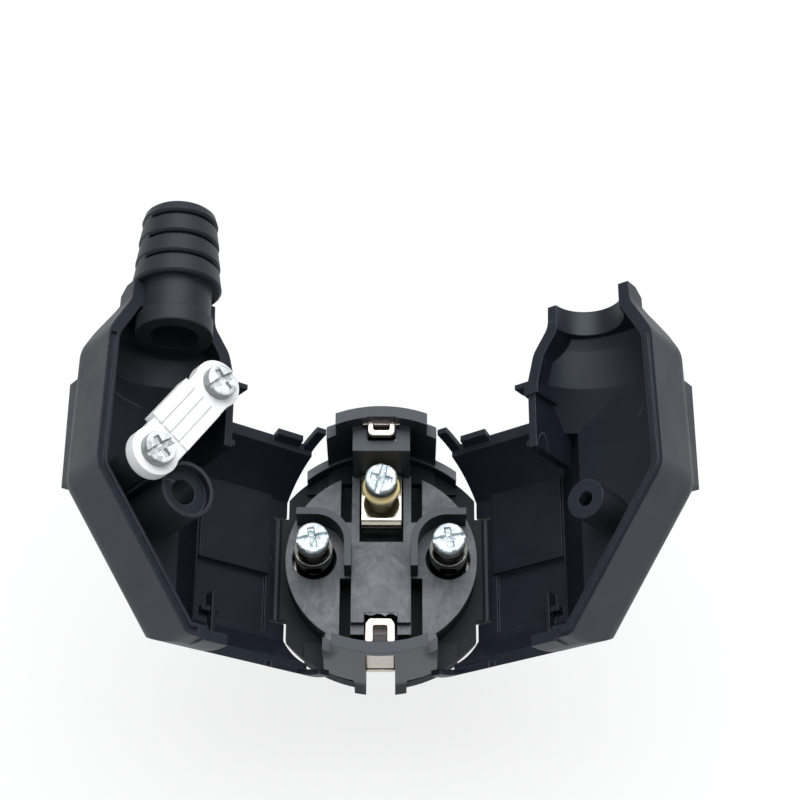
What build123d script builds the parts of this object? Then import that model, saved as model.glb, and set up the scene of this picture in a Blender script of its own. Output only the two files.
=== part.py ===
from build123d import *
import math
import os

# Rewireable angled earthed plug, opened like a book: a round contact carrier stays in the middle
# and two half shells are swung out to its left and right on bead hinges at the front edge.
# Frame: origin at the centre of the front face, pins down along -Z, cord outlet along +Y.

# Engaged collar and contact carrier
PIN_PITCH = 19.0
PIN_R = 2.4
PIN_ROOT_R = 2.8
PIN_LENGTH = 19.0
PIN_TIP = 2.0
PIN_SHOULDER_R = 2.7
PIN_SHOULDER_H = 0.4
TERMINAL_PITCH = 18.3
COLLAR_R = 18.6
COLLAR_WALL = 1.4
COLLAR_FLAT = 15.2
COLLAR_H = 17.0
SHELF_Y = 15.0
LIP_STEP = 0.9
LIP_R = COLLAR_R - LIP_STEP
LIP_WALL = 1.6
LIP_TOP = 16.8
LIP_HALF = 6.2
SHOULDER_HALF = 7.5
SHOULDER_TOP = 13.6
SKIRT_Z = 5.2
PRONG_HALF = 3.5
CURB_TOP = 5.0
CURB_T = 1.1
CURB_HALF = 10.4
SLOT_HALF = 1.95
PLATE_STEP = 1.1
PLATE_R = LIP_R - PLATE_STEP
PLATE_IN = 2.2
PLATE_FLAT = COLLAR_FLAT - PLATE_IN
PLATE_T = 1.6
DISC_R = PLATE_FLAT + 0.1
DISC_Z = 5.5
GROOVE_IN = 4.1
GROOVE_OUT = 5.6
WELL_R = 3.05
GUARD_T = 1.0
GUARD_H = 4.0

# Housing above the collar, side view outline as (Y, Z) corners
WALL = 1.6
SIDE = 10.3
BACK_Z = 37.2
TAIL_STEP = 0.3
TAIL_Y = TAIL_STEP - COLLAR_R
NECK_Y = 28.7
NECK_INNER = 25.1
SHOULDER_Z = 15.0
WAIST_Z = 20.6
PARTING_GAP = 0.08
PAD_T = 2.0
TONGUE_T = 0.5
TONGUE_H = 0.3
TONGUE_PLAY = 0.18
TONGUE_IN = 0.5

# Cord outlet
CORD_Z = 27.3
NECK_RISE = 3.5
SLEEVE_NECK_R = 4.7
SADDLE_PLAY = 0.1
SLEEVE_BORE_R = 3.3
SLEEVE_FLANGE_R = 6.0
SLEEVE_RIB_R = 5.7
SLEEVE_TAPER = 0.28
SLEEVE_CUT = 1.05
SLEEVE_WEB = 0.8
SLEEVE_GAP = 0.38
SLEEVE_END = 40.4
SLEEVE_PITCH = 3.25
SLEEVE_FOOT = 22.0
SLEEVE_FOOT_H = 2.4
SLEEVE_FOOT_R = 5.1

# Housing screw bosses and cord clamp
BOSS_Y = 0.3
BOSS_Z = 24.7
CUP_R = 3.8
CUP_BORE_R = 3.3
CUP_DEPTH = 1.2
HEAD_RECESS_R = 2.9
CUP_END = 1.4
BOSS_R = 2.65
BOSS_END = 1.9
BOSS_HOLE_R = 1.05
SCREW_HOLE_R = 1.7
CLAMP_Y = 9.3
CLAMP_Z = 26.5
CLAMP_HALF = 7.3
CLAMP_ANGLE = -35.2
CLAMP_BASE = 1.5
CLAMP_T = 1.9
CLAMP_END_R = 3.3
POST_R = 2.3
CLAMP_SCREW_R = 1.3

# Hinges
HINGE_IN = 0.7
HINGE_X = COLLAR_FLAT - HINGE_IN
HINGE_Z = 0.95
HINGE_HALF = 7.5
BEAD_R = 0.5
BEAD_PLAY = 0.04
CLIP_R = 0.95
WEB_T = 0.5
OPEN_ANGLE = 54.0

# Terminals
BARREL_R = 2.6
BARREL_TOP = 9.2
HEAD_R = 2.2
HEAD_TOP = 13.0
HEAD_H = 1.9
SLOT_W = 0.62
SLOT_DEPTH = 0.65
CROSS_HALF = 1.25
SCREW_R = 1.5
EARTH_Y = 8.75
STRAP_HALF = 2.75
STRAP_T = 0.8
STRAP_DROP = 2.6
STRAP_TOP = 6.9
STRAP_FRONT = 4.2
STRAP_REAR = 11.9
BUSH_R = 2.53
SCREW_FOOT = 5.6
EARTH_FOOT = 4.0
CLIP_HALF = 1.85
STRIP_T = 0.7
STRIP_IN = LIP_R - 3.5
HOOD_IN_UPPER = STRIP_IN - 0.4
HOOD_IN_LOWER = STRIP_IN - 2.3
HOOD_OUT = LIP_R - 1.8
HOOD_TOP_UPPER = 15.6
HOOD_TOP_LOWER = 14.8
LEG_H = 5.0

os.makedirs("parts", exist_ok=True)


def slab(x0, x1, y0, y1, z0, z1):
    """Rectangular block between the given limits."""
    return Pos((x0 + x1) / 2, (y0 + y1) / 2, (z0 + z1) / 2) * Box(abs(x1 - x0), abs(y1 - y0), abs(z1 - z0))


def rod_z(x, y, z0, z1, radius):
    """Upright round bar."""
    return Pos(x, y, (z0 + z1) / 2) * Cylinder(radius, z1 - z0)


def rod_y(x, z, y0, y1, radius):
    """Round bar along the cord direction."""
    return Pos(x, (y0 + y1) / 2, z) * Rot(90, 0, 0) * Cylinder(radius, y1 - y0)


def rod_x(y, z, x0, x1, radius):
    """Round bar across the parting plane."""
    return Pos((x0 + x1) / 2, y, z) * Rot(0, 90, 0) * Cylinder(radius, x1 - x0)


def side_prism(face, half):
    """Extrudes a face drawn in the side view the same distance to both sides."""
    return extrude(Plane.YZ * face, amount=half, both=True)


def across_prism(points, y0, y1):
    """Block with an outline drawn in the X and Z directions."""
    face = make_face(Polyline(*points, close=True))
    return Pos(0, y1, 0) * extrude(Plane.XZ * face, amount=y1 - y0)


def housing_face():
    """Side view of the housing: sloping back, blunt top and narrowing cord neck."""
    corners = [
        (TAIL_Y, COLLAR_H),
        (TAIL_Y, 23.0),
        (1.2, BACK_Z),
        (20.6, 36.7),
        (25.8, 33.8),
        (NECK_Y, 33.6),
        (NECK_Y, 21.2),
        (25.7, 21.1),
        (22.4, 18.7),
        (18.2, 17.6),
        (15.0, 17.6),
        (15.0, COLLAR_H),
    ]
    face = make_face(Polyline(*corners, close=True))
    marks = [(1, 1.6), (2, 4.0), (3, 4.0), (4, 2.5), (7, 3.0), (8, 4.0)]
    for index, radius in marks:
        y, z = corners[index]
        near = face.vertices().sort_by_distance((y, z, 0))[0]
        face = fillet(near, radius)
    return face


HOUSING = housing_face()

# Shoulder outline that carries the wide collar into the slim housing
OUTER_SHOULDER = [
    (-COLLAR_FLAT, 0),
    (COLLAR_FLAT, 0),
    (COLLAR_FLAT, SHOULDER_Z),
    (SIDE, WAIST_Z),
    (-SIDE, WAIST_Z),
    (-COLLAR_FLAT, SHOULDER_Z),
]
INNER_SHOULDER = [
    (-COLLAR_FLAT + COLLAR_WALL, -1),
    (COLLAR_FLAT - COLLAR_WALL, -1),
    (COLLAR_FLAT - COLLAR_WALL, SHOULDER_Z - 0.6),
    (SIDE - WALL, WAIST_Z - 0.6),
    (-SIDE + WALL, WAIST_Z - 0.6),
    (-COLLAR_FLAT + COLLAR_WALL, SHOULDER_Z - 0.6),
]


def rounded_housing(face, half, radius):
    """Housing block with its long edges rounded toward the sides."""
    block = side_prism(face, half)
    rim = [e for e in block.edges() if abs(abs(e.center().X) - half) < 0.01]
    rim = [e for e in rim if e.center().Z > COLLAR_H + 0.8 and e.center().Y < NECK_Y - 0.1]
    rim = [e for e in rim if not (e.center().Z < 22 and e.center().Y > 5)]
    rim = [e for e in rim if not (e.center().Y < TAIL_Y + 1.9 and e.center().Z < 21)]
    return fillet(rim, radius)


def plan_face(inset):
    """Plan of the housing: round tail over the collar and straight flanks."""
    side = SIDE - inset
    tail = math.sqrt((COLLAR_R - inset) ** 2 - side ** 2)
    flanks = Polyline((-side, -tail), (-side, NECK_Y + 5), (side, NECK_Y + 5), (side, -tail))
    arc = ThreePointArc((side, -tail), (0, -COLLAR_R + inset), (-side, -tail))
    return make_face([flanks, arc])


def neck_taper(inset):
    """Oval taper that carries the flanks into the cord neck, hollowed most on the socket side."""
    neck = SLEEVE_NECK_R + SADDLE_PLAY + WALL
    sections = [
        (NECK_Y + 5, 0, neck, neck + 1.2),
        (26.0, 0, neck, neck + 1.2),
        (22.6, NECK_RISE, neck + 2.4, neck + 6.0),
        (17.6, NECK_RISE, SIDE + 0.1, SIDE + 3.2),
        (TAIL_Y - 5, NECK_RISE, SIDE + 22, SIDE + 42),
    ]
    rings = []
    for y, rise, across, tall in sections:
        place = Plane(origin=(0, y + inset * 0.6, CORD_Z + rise), x_dir=(1, 0, 0), z_dir=(0, 1, 0))
        rings.append(place * Ellipse(across - inset, tall - inset))
    return loft(rings, ruled=True)


def rim_band(play, reach):
    """Band along the middle of the rim, as wide as the tongue and its play, that spans the parting."""
    band = offset(HOUSING, -TONGUE_IN + play) - offset(HOUSING, -TONGUE_IN - TONGUE_T - play)
    return side_prism(band, reach) & slab(-5, 5, TAIL_Y - 1, 20 + play, COLLAR_H + 4.5 - play, BACK_Z + 5)


def whole_shell():
    """Both half shells as one hollow body, before they are parted and fitted out."""
    collar = rod_z(0, 0, 0, WAIST_Z, COLLAR_R) & across_prism(OUTER_SHOULDER, -30, 30)
    collar -= slab(-30, 30, SHELF_Y, 30, COLLAR_H + 0.6, 40)
    hollow = rod_z(0, 0, -1, WAIST_Z - 0.6, COLLAR_R - COLLAR_WALL) & across_prism(INNER_SHOULDER, -30, 30)
    hollow -= slab(-30, 30, SHELF_Y - COLLAR_WALL, 30, COLLAR_H - 0.9, 40)
    outer = rounded_housing(HOUSING, SIDE, 3.0) & extrude(plan_face(0), amount=60) & neck_taper(0)
    for s in (-1, 1):
        outer -= neck_bevel(s)
        outer += grip_pad(s)
    outer += collar
    cavity = side_prism(offset(HOUSING, -WALL), SIDE - WALL) & extrude(plan_face(WALL), amount=60)
    cavity &= neck_taper(WALL)
    cavity -= slab(-30, 30, NECK_INNER, 40, 0, 60)
    mouth = slab(-SIDE + WALL, SIDE - WALL, TAIL_Y + 1.8, SHELF_Y + WALL, COLLAR_H - 1.5, WAIST_Z + 1)
    mouth &= neck_taper(WALL)
    return outer - cavity - hollow - mouth


def neck_bevel(s):
    """Everything outside the slanted facet where the back runs down into the cord neck."""
    facet = Plane(origin=(s * 1.8, NECK_Y, CORD_Z + 6.6), z_dir=(s * 0.77, 1.0, 0.8))
    return facet * Box(40, 40, 20, align=(Align.CENTER, Align.CENTER, Align.MIN))


def grip_pad(s):
    """Slightly raised finger field along one flank."""
    pad = slab(s * (SIDE - 1.6), s * (SIDE + PAD_T), 2.2, 17.2, 22.0, 36.0)
    edges = [e for e in pad.edges() if abs(abs(e.center().X) - SIDE - PAD_T) < 0.01]
    return chamfer(edges, 0.6)


def lip_clearance():
    """Space that the carrier's two upright lips fill between the half shells."""
    room = Part()
    for s in (-1, 1):
        room += slab(-SHOULDER_HALF - 0.35, SHOULDER_HALF + 0.35, s * 11, s * 25, -1, COLLAR_H + 0.05)
    return room


def front_tongues():
    """Thin front ring pieces that reach round outside the lips on the left side."""
    ring = rod_z(0, 0, 0, 1.5, COLLAR_R) - rod_z(0, 0, -1, 3, LIP_R + 0.12)
    teeth = rod_z(0, 0, 2.3, 6.4, COLLAR_R) - rod_z(0, 0, 0, 8, LIP_R + 0.12)
    keep = ring & slab(-8.6, -2.5, -25, -12, -1, 3)
    keep += ring & slab(-8.6, -4.3, 12, 25, -1, 3)
    for s in (-1, 1):
        keep += teeth & slab(-8.6, -6.6, s * 12, s * 25, 0, 9)
    return keep


def left_half(saddle):
    """Half on the -X side with the things common to both halves."""
    half = whole_shell() - lip_clearance() + front_tongues()
    half &= slab(-40, -PARTING_GAP, -40, 60, -5, 60)
    half -= rod_y(0, CORD_Z, NECK_INNER - 2, NECK_Y + 2, saddle)
    # hinge bead, its thin web and the room round the carrier's clip
    half -= slab(-HINGE_X - 5, -HINGE_X + 4.5, -HINGE_HALF - 0.4, HINGE_HALF + 0.4, -1, HINGE_Z + CLIP_R + 0.35)
    half += rod_y(-HINGE_X, HINGE_Z, -HINGE_HALF, HINGE_HALF, BEAD_R)
    web_x = (-HINGE_X - WEB_T / 2, -HINGE_X + WEB_T / 2)
    half += slab(*web_x, -HINGE_HALF, HINGE_HALF, HINGE_Z, HINGE_Z + CLIP_R + 1.0)
    # thicker field on the inside of the flat, a thinner one below it and the two stop ribs
    flat_in = -COLLAR_FLAT + COLLAR_WALL
    half += slab(flat_in - 0.3, flat_in + 0.45, -1.2, 10.6, 2.9, SHOULDER_Z - 0.9)
    half -= slab(flat_in - 0.45, flat_in + 0.2, -9.5, -1.2, 3.2, SHOULDER_Z - 0.9)
    half += slab(flat_in - 0.6, flat_in + 1.4, -12.0, -6.2, 11.7, 12.3)
    half += slab(flat_in - 0.6, flat_in + 0.8, -8.9, -8.2, 11.0, 13.4)
    # hook beside the lip and the upright stop at the cord end
    half += slab(-2.2, -PARTING_GAP, LIP_R + 0.2, COLLAR_R, 15.6, COLLAR_H + 0.9)
    half += slab(-9.2, -PARTING_GAP - 0.3, 9.0, 16.6, COLLAR_H + 0.5, COLLAR_H + 1.6)
    half += slab(-9.2, -PARTING_GAP - 1.0, 9.6, 10.4, COLLAR_H - 0.4, COLLAR_H + 0.7)
    return half


def left_shell():
    """Half that carries sleeve and clamp: cup boss, clamp posts and parting groove."""
    half = left_half(SLEEVE_NECK_R)
    half -= rim_band(TONGUE_PLAY, TONGUE_H + TONGUE_PLAY)
    inside = -SIDE + WALL
    half += rod_x(BOSS_Y, BOSS_Z, inside - 0.8, CUP_END, CUP_R)
    half -= rod_x(BOSS_Y, BOSS_Z, CUP_END - CUP_DEPTH, CUP_END + 1, CUP_BORE_R)
    half -= rod_x(BOSS_Y, BOSS_Z, -20, CUP_END, SCREW_HOLE_R)
    half -= rod_x(BOSS_Y, BOSS_Z, -20, -SIDE + 2.4, HEAD_RECESS_R)
    for s in (-1, 1):
        y, z = clamp_place(s)
        half += rod_x(y, z, inside - 0.8, CLAMP_BASE, POST_R)
        half -= rod_x(y, z, -6.5, CLAMP_BASE + 1, CLAMP_SCREW_R)
    return half


def right_shell():
    """Half with the tubular screw boss and the open saddle."""
    half = mirror(left_half(SLEEVE_NECK_R + SADDLE_PLAY), Plane.YZ)
    half += rim_band(0, TONGUE_H) & slab(-TONGUE_H, PARTING_GAP + 0.3, -40, 40, 0, 60)
    inside = SIDE - WALL
    half += rod_x(BOSS_Y, BOSS_Z, BOSS_END, inside + 0.8, BOSS_R)
    half -= rod_x(BOSS_Y, BOSS_Z, 0, inside - 0.4, BOSS_HOLE_R)
    return half


def clamp_place(s):
    """Side view place of one clamp screw."""
    a = math.radians(CLAMP_ANGLE)
    return CLAMP_Y + s * CLAMP_HALF * math.cos(a), CLAMP_Z + s * CLAMP_HALF * math.sin(a)


def cord_clamp():
    """Moulded strap across the cord: a swelling round each screw, a thicker middle with three flutes."""
    top = CLAMP_BASE + CLAMP_T
    wide = CLAMP_END_R - 0.3
    bar = slab(CLAMP_BASE, top, -CLAMP_HALF, CLAMP_HALF, -wide, wide)
    bar += slab(CLAMP_BASE, top + 0.3, -CLAMP_HALF + 3.4, CLAMP_HALF - 3.4, -wide, wide + 0.5)
    for s in (-1, 1):
        bar += rod_x(s * CLAMP_HALF, 0, CLAMP_BASE, top, CLAMP_END_R)
        bar -= rod_x(s * CLAMP_HALF, 0, CLAMP_BASE - 1, top + 1, CLAMP_SCREW_R + 0.15)
    for k in range(3):
        y = (k - 1) * 2.2
        bar += slab(CLAMP_BASE - 0.5, CLAMP_BASE + 0.1, y - 0.4, y + 0.4, -wide + 0.6, wide - 0.6)
        flute = (k - 1) * 1.6
        bar -= slab(top + 0.1, top + 1, -CLAMP_HALF, CLAMP_HALF, flute - 0.25, flute + 0.25)
    return Pos(0, CLAMP_Y, CLAMP_Z) * Rot(CLAMP_ANGLE, 0, 0) * bar


def drive():
    """Slot right across a screw head, with the short cross arm of the combined recess."""
    slot = Box(3 * HEAD_R, SLOT_W, 2 * SLOT_DEPTH)
    return slot + Box(SLOT_W, CROSS_HALF * 2, 2 * SLOT_DEPTH)


def clamp_screw(s):
    """Pan head screw that holds one end of the strap."""
    y, z = clamp_place(s)
    seat = CLAMP_BASE + CLAMP_T
    head = rod_x(y, z, seat, seat + 1.5, HEAD_R)
    head = fillet(head.edges().sort_by(Axis.X)[-1], 0.5)
    screw = head + rod_x(y, z, -5.6, seat, CLAMP_SCREW_R)
    screw -= Pos(seat + 1.5, y, z) * Rot(50, 0, 0) * Rot(0, 90, 0) * drive()
    return screw


def bend_sleeve():
    """Soft sleeve round the cord: foot and neck in the outlet, then ribs that taper off to the end."""
    profile = [
        (SLEEVE_BORE_R, SLEEVE_FOOT),
        (SLEEVE_FOOT_R, SLEEVE_FOOT),
        (SLEEVE_FOOT_R, SLEEVE_FOOT + SLEEVE_FOOT_H),
        (SLEEVE_NECK_R, SLEEVE_FOOT + SLEEVE_FOOT_H),
    ]
    start = NECK_Y + 0.2
    for k in range(4):
        y = start + k * SLEEVE_PITCH
        rib = SLEEVE_FLANGE_R if k == 0 else SLEEVE_RIB_R - (k - 1) * SLEEVE_TAPER
        root = SLEEVE_NECK_R if k == 0 else rib - SLEEVE_CUT + SLEEVE_TAPER
        rear = SLEEVE_END if k == 3 else y + SLEEVE_PITCH - SLEEVE_GAP
        profile.append((root, y))
        profile.append((rib - 0.3, y))
        profile.append((rib, y + 0.35))
        profile.append((rib - 0.35, rear - 0.25))
        profile.append((rib - 0.65, rear))
        if k < 3:
            profile.append((rib - SLEEVE_CUT, rear))
    profile.append((SLEEVE_BORE_R, SLEEVE_END))
    body = revolve(make_face(Polyline(*profile, close=True)), axis=Axis.Y)
    # two webs that bridge the grooves along the mould's parting
    low = SLEEVE_BORE_R + 0.3
    tip = SLEEVE_RIB_R - 3 * SLEEVE_TAPER
    web = [(start + 0.6, low), (start + 0.6, SLEEVE_RIB_R + 0.1), (SLEEVE_END - 0.5, tip), (SLEEVE_END - 0.5, low)]
    for s in (-1, 1):
        body += side_prism(make_face(Polyline(*[(y, s * r) for y, r in web], close=True)), SLEEVE_WEB)
    return Pos(0, 0, CORD_Z) * body


def contact_carrier():
    """Round insulating carrier with base plate, terminal disc, lips, prongs and hinge clips."""
    base = rod_z(0, 0, 0, PLATE_T, PLATE_R) & slab(-PLATE_FLAT, PLATE_FLAT, -30, 30, -1, 60)
    body = base + rod_z(0, 0, 0, DISC_Z, DISC_R)
    # bridges from the disc out to the two lips
    bridge = {1: rod_z(0, 0, 0, PLATE_T + 1.4, PLATE_R), -1: rod_z(0, 0, 0, SKIRT_Z + 0.6, PLATE_R)}
    ring = rod_z(0, 0, 0, LIP_TOP, LIP_R) - rod_z(0, 0, -1, LIP_TOP + 1, LIP_R - LIP_WALL)
    for s in (-1, 1):
        body += bridge[s] & slab(-SHOULDER_HALF, SHOULDER_HALF, s * 11.0, s * 25, -1, 20)
        body += rod_z(0, 0, 0, PLATE_T + 0.7, PLATE_R + 0.3) & slab(-CURB_HALF, CURB_HALF, s * 11.0, s * 25, -1, 20)
        body += ring & slab(-LIP_HALF, LIP_HALF, s * 12, s * 25, SKIRT_Z, 20)
        body += ring & slab(-SHOULDER_HALF, SHOULDER_HALF, s * 12, s * 25, SKIRT_Z, SHOULDER_TOP)
        body += ring & slab(-PRONG_HALF, PRONG_HALF, s * 12, s * 25, 0, SKIRT_Z + 1)
    # low curb that carries on from the upper lip along the rim of the plate
    curb = rod_z(0, 0, 0, CURB_TOP, PLATE_R + 0.3) - rod_z(0, 0, -1, CURB_TOP + 1, PLATE_R + 0.3 - CURB_T)
    body += curb & slab(-CURB_HALF, CURB_HALF, 11.0, 25, -1, 20)
    # block behind the earth terminal
    body += slab(-3.9, 3.9, STRAP_REAR + 0.2, LIP_R - 1.0, 1.0, 14.4)
    # curved guard round each line terminal
    for s in (-1, 1):
        cx, cy = s * 9.0, 0.9
        guard = rod_z(cx, cy, DISC_Z - 0.5, DISC_Z + GUARD_H, 5.0) - rod_z(cx, cy, 0, 20, 5.0 - GUARD_T)
        guard &= slab(s * 3.0, s * 9.0, 0.9, 9, 0, 20)
        guard += slab(s * 9.0, s * 11.6, 4.9, 5.9, DISC_Z - 0.5, DISC_Z + GUARD_H)
        guard += slab(s * 4.0, s * 5.0, -2.6, 0.9, DISC_Z - 0.5, DISC_Z + GUARD_H)
        body += guard
    # eight sided raised plate in front of the earth pocket
    plate = Polyline((-4.05, -9.6), (4.05, -9.6), (4.05, -2.0), (1.6, 0.0), (-1.6, 0.0), (-4.05, -2.0), close=True)
    body += Pos(0, 0, DISC_Z - 0.4) * extrude(make_face(plate), amount=1.3)
    body -= slab(-2.25, 2.25, -11.4, -8.2, DISC_Z - 2.5, 20)
    # grooves beside the spine
    for s in (-1, 1):
        body -= slab(s * GROOVE_IN, s * GROOVE_OUT, -11.4, -2.9, PLATE_T, DISC_Z + 0.2)
        body -= slab(s * GROOVE_IN, s * GROOVE_OUT, 5.4, 12.4, PLATE_T, DISC_Z + 1.0)
    body -= slab(-5.6, 5.6, -13.6, -11.0, PLATE_T, 20) & rod_z(0, 0, 0, 30, LIP_R - LIP_WALL)
    # pocket of the earth terminal
    body -= slab(-3.0, 3.0, 2.5, STRAP_REAR + 0.1, PLATE_T + 1.2, 20)
    body -= slab(-3.0, 3.0, STRAP_REAR - STRAP_T - 0.1, STRAP_REAR + 0.1, PLATE_T, 20)
    # wells of the line terminals, open to the front for the pins
    for s in (-1, 1):
        body -= rod_z(s * TERMINAL_PITCH / 2, 0, PLATE_T + 1.2, 20, WELL_R)
        body -= rod_z(s * PIN_PITCH / 2, 0, -1, PLATE_T + 1.2, PIN_ROOT_R)
    # earth slots through the lips, channels of the contact strips and of the link between them
    for s in (-1, 1):
        body -= slab(-SLOT_HALF, SLOT_HALF, s * (LIP_R - 1.0), s * 25, -1, LIP_TOP - 1.0)
        body -= slab(-SLOT_HALF, SLOT_HALF, s * (STRIP_IN - 0.1), s * 25, -1, LIP_TOP - 1.0)
        hood = HOOD_IN_UPPER if s > 0 else HOOD_IN_LOWER
        body -= slab(-SLOT_HALF, SLOT_HALF, s * (hood - 0.15), s * (LIP_R - LIP_WALL), DISC_Z + 0.5, 30)
        body -= slab(-SLOT_HALF, SLOT_HALF, s * 2.0, s * 16.5, PLATE_T, PLATE_T + 0.9)
    body -= slab(-SLOT_HALF, SLOT_HALF, -16.5, 16.5, PLATE_T, PLATE_T + 0.9)
    # hinge clips
    for s in (-1, 1):
        arm = slab(s * (PLATE_FLAT - 0.5), s * (HINGE_X - 0.2), -HINGE_HALF, HINGE_HALF, 0, PLATE_T)
        arm += rod_y(s * HINGE_X, HINGE_Z, -HINGE_HALF, HINGE_HALF, CLIP_R)
        arm -= rod_y(s * HINGE_X, HINGE_Z, -30, 30, BEAD_R + BEAD_PLAY)
        arm -= clip_mouth(s)
        body += arm
    return body


def clip_mouth(s):
    """Wedge left open in a hinge clip for the swing of the shell's web."""
    face = Polyline((0, 0), (4, 4.8), (4, 6), (-6, 6), (-6, -0.3), close=True)
    wedge = Pos(0, 30, 0) * extrude(Plane.XZ * make_face(face), amount=60)
    if s > 0:
        return Pos(HINGE_X, 0, HINGE_Z) * mirror(wedge, Plane.YZ)
    return Pos(-HINGE_X, 0, HINGE_Z) * wedge


def line_pin(s):
    """Solid round contact pin with a rounded tip and the terminal barrel on its rear end."""
    x = s * PIN_PITCH / 2
    pin = rod_z(x, 0, -PIN_LENGTH, 0, PIN_R)
    pin = fillet(pin.edges().sort_by(Axis.Z)[0], PIN_TIP)
    pin += rod_z(x, 0, -PIN_SHOULDER_H, 0, PIN_SHOULDER_R)
    pin += rod_z(x, 0, 0, PLATE_T + 1.2, PIN_ROOT_R)
    x = s * TERMINAL_PITCH / 2
    pin += rod_z(x, 0, PLATE_T + 1.2, BARREL_TOP, BARREL_R)
    pin -= rod_z(x, 0, PLATE_T + 2.4, BARREL_TOP + 1, SCREW_R)
    pin -= rod_y(x, 7.2, -10, 10, 1.15)
    return pin


def head_screw(x, y, foot):
    """Terminal screw standing upright, its head slotted."""
    head = rod_z(x, y, HEAD_TOP - HEAD_H, HEAD_TOP, HEAD_R)
    head = fillet(head.edges().sort_by(Axis.Z)[-1], 0.45)
    screw = head + rod_z(x, y, foot, HEAD_TOP - HEAD_H, SCREW_R)
    screw -= Pos(x, y, HEAD_TOP) * Rot(0, 0, 35) * drive()
    return screw


def earth_contact(s, hood_in, top):
    """Springy contact strip behind an earth slot, bent inward at its top as an open U."""
    strip = slab(-CLIP_HALF, CLIP_HALF, s * STRIP_IN, s * (STRIP_IN + STRIP_T), PLATE_T + 0.8, top)
    hood = slab(-CLIP_HALF, CLIP_HALF, s * hood_in, s * HOOD_OUT, top - STRIP_T, top)
    window = slab(-CLIP_HALF + 0.75, CLIP_HALF - 0.75, s * (hood_in + 0.9), s * 20, top - STRIP_T - 2.2, top + 1)
    # outer leg that is bent down again in front of the slot
    leg_top = top - STRIP_T - 0.2
    leg = slab(-CLIP_HALF, CLIP_HALF, s * (HOOD_OUT - 0.5), s * HOOD_OUT, top - LEG_H, leg_top)
    arms = slab(-CLIP_HALF, CLIP_HALF, s * (HOOD_OUT - 0.5), s * HOOD_OUT, leg_top - 0.1, top)
    arms -= slab(-CLIP_HALF + 0.75, CLIP_HALF - 0.75, s * 10, s * 20, 0, 30)
    return strip + hood - window + leg + arms


def earth_link():
    """Flat strip under the disc that joins both earth contacts and rises behind the terminal strap."""
    link = slab(-CLIP_HALF, CLIP_HALF, -STRIP_IN - STRIP_T, STRIP_IN + STRIP_T, PLATE_T, PLATE_T + 0.8)
    link += slab(-STRAP_HALF, STRAP_HALF, STRAP_REAR - STRAP_T, STRAP_REAR, PLATE_T, STRAP_TOP)
    strap = slab(-STRAP_HALF, STRAP_HALF, STRAP_FRONT, STRAP_REAR, STRAP_TOP - STRAP_T, STRAP_TOP)
    strap += slab(-STRAP_HALF, STRAP_HALF, STRAP_FRONT, STRAP_FRONT + STRAP_T, STRAP_TOP - STRAP_DROP, STRAP_TOP)
    bend = strap.edges().filter_by(Axis.X).sort_by(lambda e: e.center().Z - e.center().Y)[-1]
    link += fillet(bend, STRAP_T + 0.5)
    link -= rod_z(0, EARTH_Y, STRAP_TOP - 2, STRAP_TOP + 1, SCREW_R)
    return link


def earth_terminal_bush():
    """Thick washer that presses the earth wire on the strap."""
    ring = rod_z(0, EARTH_Y, STRAP_TOP, HEAD_TOP - HEAD_H, BUSH_R)
    return ring - rod_z(0, EARTH_Y, 0, 20, SCREW_R + 0.1)


def swung(shape, side):
    """Turns a piece from the closed plug out to the opened place of its half."""
    axis = Axis((side * HINGE_X, 0, HINGE_Z), (0, 1, 0))
    return shape.rotate(axis, side * OPEN_ANGLE)


pieces = {
    "contact_carrier": contact_carrier(),
    "left_shell": swung(left_shell(), -1),
    "right_shell": swung(right_shell(), 1),
    "bend_sleeve": swung(bend_sleeve(), -1),
    "cord_clamp": swung(cord_clamp(), -1),
    "clamp_screw_upper": swung(clamp_screw(1), -1),
    "clamp_screw_lower": swung(clamp_screw(-1), -1),
    "live_pin": line_pin(-1),
    "neutral_pin": line_pin(1),
    "live_terminal_screw": head_screw(-TERMINAL_PITCH / 2, 0, SCREW_FOOT),
    "neutral_terminal_screw": head_screw(TERMINAL_PITCH / 2, 0, SCREW_FOOT),
    "earth_contact_upper": earth_contact(1, HOOD_IN_UPPER, HOOD_TOP_UPPER),
    "earth_contact_lower": earth_contact(-1, HOOD_IN_LOWER, HOOD_TOP_LOWER),
    "earth_link": earth_link(),
    "earth_terminal_bush": earth_terminal_bush(),
    "earth_terminal_screw": head_screw(0, EARTH_Y, EARTH_FOOT),
}

for name, shape in pieces.items():
    export_step(shape, f"parts/{name}.step")
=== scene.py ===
import math

import bmesh
import bpy
import numpy as np
from mathutils import Matrix, Vector


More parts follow.
